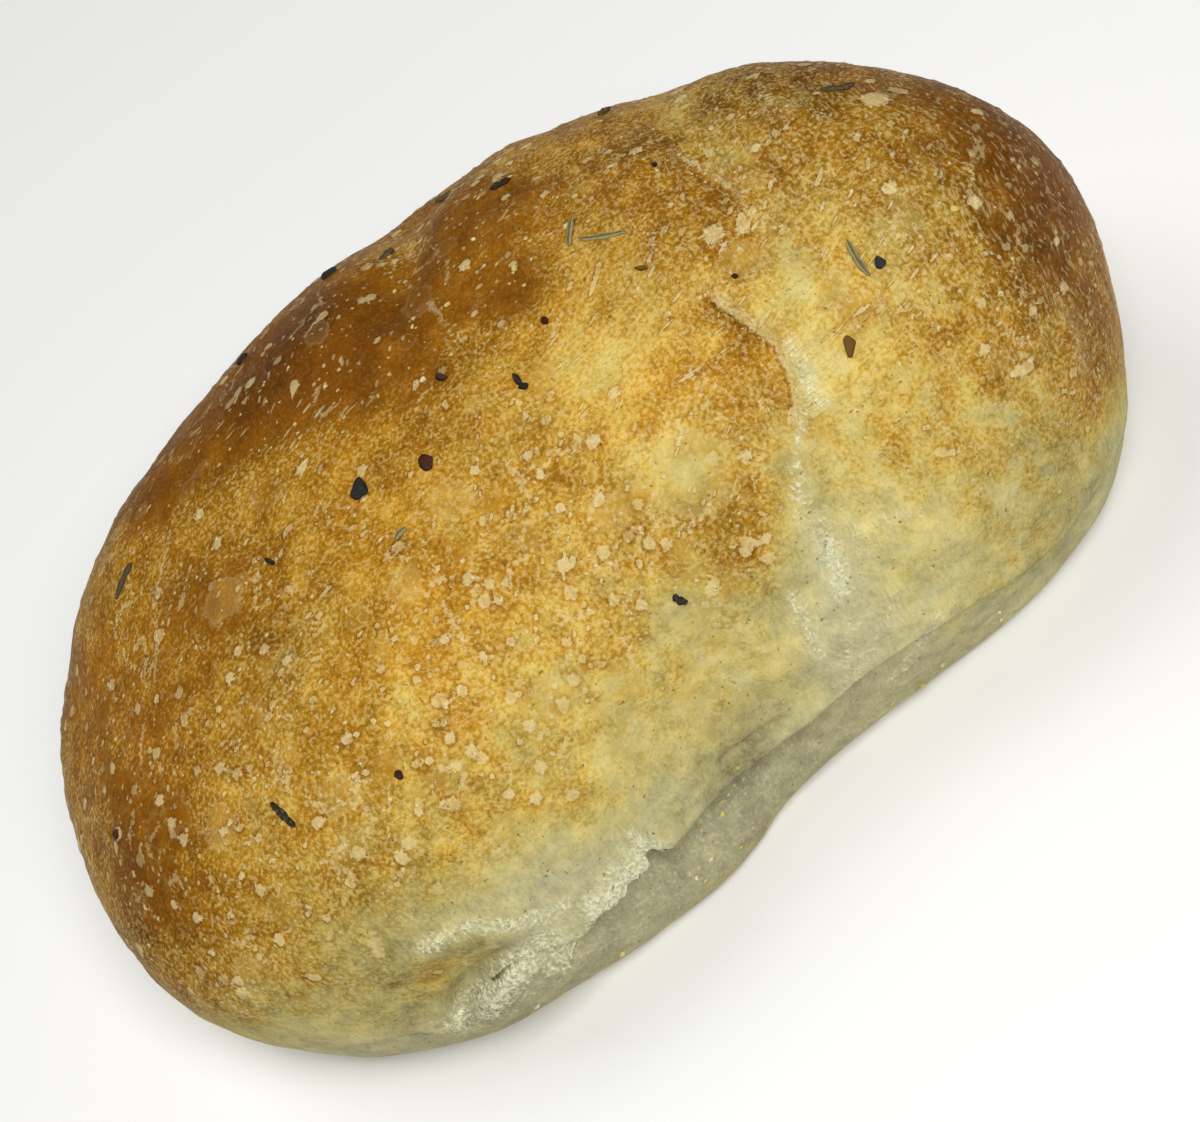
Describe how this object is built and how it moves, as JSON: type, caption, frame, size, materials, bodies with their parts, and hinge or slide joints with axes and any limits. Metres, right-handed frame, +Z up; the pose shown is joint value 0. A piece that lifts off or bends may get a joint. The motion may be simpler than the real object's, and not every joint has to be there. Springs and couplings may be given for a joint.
{
  "type": "ciabatta roll",
  "caption": "Baked ciabatta roll with a domed golden crust, a torn fold low on one side, and dried rosemary and cracked pepper on its top.",
  "frame": {"origin": "centre of the flat base, in the middle of the loaf's box", "axes": "+X along the loaf towards its higher end, +Y across it away from the torn fold, +Z up"},
  "size_m": [0.1316, 0.0872, 0.0541],
  "materials": {
    "crust": "baked crust, satin to matt, golden brown on top and pale at the foot",
    "rosemary": "dried herb, matt, grey green to dark brown",
    "pepper": "cracked pepper, matt, near black to dark brown",
    "cornmeal": "coarse cornmeal grain, satin, pale yellow"
  },
  "bodies": {
    "root": {"roll": "crust"}
  },
  "joints": []
}
